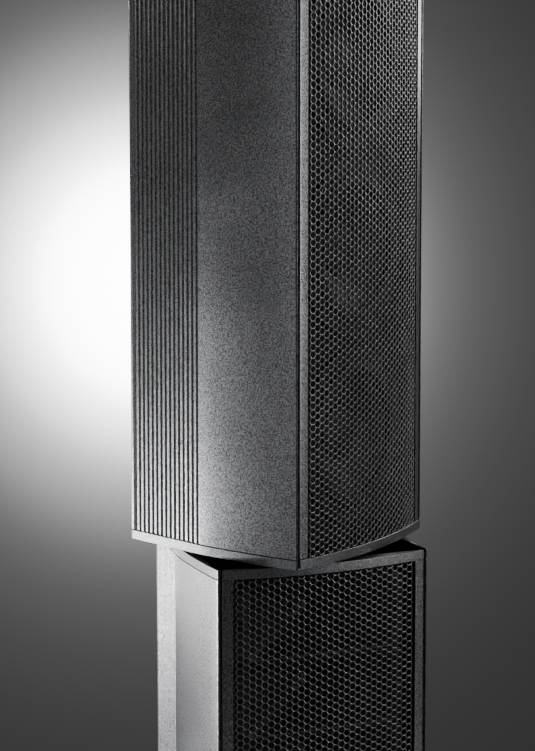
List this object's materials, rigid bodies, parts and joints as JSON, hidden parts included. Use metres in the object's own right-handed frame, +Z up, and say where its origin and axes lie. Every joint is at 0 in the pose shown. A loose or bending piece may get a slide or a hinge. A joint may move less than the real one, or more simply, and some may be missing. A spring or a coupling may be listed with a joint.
{
  "type": "line array speaker",
  "caption": "Two-part column line array loudspeaker: a horn module below and a cone-driver module that swivels above it, both with curved perforated grilles and ribbed sides.",
  "frame": {"origin": "centre of the base bolt pattern in the plane of the underside, on the swivel's axis", "axes": "+Z up along the swivel's axis; the lower module's grille faces -Y; +X is to the right of a viewer facing the lower grille"},
  "size_m": [0.277, 0.278, 1.7225],
  "materials": {
    "powder_coat": "finely textured anthracite powder coat on extruded aluminium",
    "grille_coat": "satin black powder coat on perforated steel",
    "rubber": "matt black rubber",
    "baffle_coat": "matt black coated aluminium",
    "zinc_steel": "zinc-plated steel",
    "black_steel": "blackened steel",
    "circuit_board": "glass-fibre circuit board with solder mask",
    "wound_parts": "enamelled copper windings and film capacitors",
    "block_plastic": "moulded black plastic",
    "wadding": "white polyester wadding",
    "horn_plastic": "moulded black plastic, fine spark-eroded texture",
    "bright_aluminium": "turned bright aluminium",
    "ferrite": "grey-black ferrite and steel",
    "slide_plastic": "white low-friction plastic",
    "bronze": "sintered bronze",
    "cast_coat": "black-coated cast aluminium",
    "spider_cloth": "resin-dipped corrugated cloth",
    "cone_pulp": "coated paper pulp, felted surface"
  },
  "bodies": {
    "lower_module": {"lower_shell": "powder_coat", "lower_seam_gaskets": "rubber", "lower_plate_screws": "zinc_steel", "lower_trim_left": "powder_coat", "lower_trim_right": "powder_coat", "lower_grille": "grille_coat", "lower_grille_edging": "rubber", "lower_baffle": "baffle_coat", "lower_crossover_board": "circuit_board", "lower_crossover_parts": "wound_parts", "lower_terminal_plate": "powder_coat", "lower_terminal_block": "block_plastic", "lower_terminal_pole_screws": "zinc_steel", "lower_terminal_plate_screws": "black_steel", "lower_wadding": "wadding", "lower_bottom_plate": "powder_coat", "lower_top_plate": "powder_coat", "base_inserts": "zinc_steel", "rear_inserts": "zinc_steel", "hf_horns": "horn_plastic", "hf_throat_plugs": "bright_aluminium", "hf_driver_magnets": "ferrite", "hf_driver_caps": "block_plastic", "horn_screws": "black_steel", "swivel_base_ring": "zinc_steel", "swivel_ring_screws": "black_steel", "swivel_thrust_washer": "slide_plastic", "swivel_bush": "bronze"},
    "upper_module": {"upper_shell": "powder_coat", "upper_seam_gaskets": "rubber", "upper_plate_screws": "zinc_steel", "upper_trim_left": "powder_coat", "upper_trim_right": "powder_coat", "upper_grille": "grille_coat", "upper_grille_edging": "rubber", "upper_baffle": "baffle_coat", "upper_crossover_board": "circuit_board", "upper_crossover_parts": "wound_parts", "upper_terminal_plate": "powder_coat", "upper_terminal_block": "block_plastic", "upper_terminal_pole_screws": "zinc_steel", "upper_terminal_plate_screws": "black_steel", "upper_wadding": "wadding", "upper_bottom_plate": "powder_coat", "upper_top_plate": "powder_coat", "rigging_inserts": "zinc_steel", "woofer_frames": "cast_coat", "woofer_surrounds": "rubber", "woofer_spiders": "spider_cloth", "woofer_top_plates": "zinc_steel", "woofer_magnets": "ferrite", "woofer_yokes": "zinc_steel", "woofer_screws": "black_steel", "swivel_disc_spring": "zinc_steel", "swivel_nut": "zinc_steel", "swivel_spindle": "zinc_steel", "swivel_spindle_screws": "black_steel"},
    "cone_set": {"woofer_cones": "cone_pulp", "woofer_dust_caps": "cone_pulp", "woofer_voice_coils": "wound_parts"}
  },
  "joints": [
    {"name": "pan_swivel", "type": "hinge", "parent": "lower_module", "child": "upper_module", "pos_m": [0, 0, 0.627], "axis": [0, 0, 1], "range_deg": [-76.7, 13.3]},
    {"name": "cone_travel", "type": "slide", "parent": "upper_module", "child": "cone_set", "axis": [0.5255, -0.8508, 0], "range_m": [-0.005, 0.005], "stiffness_N_per_m": 9000}
  ]
}
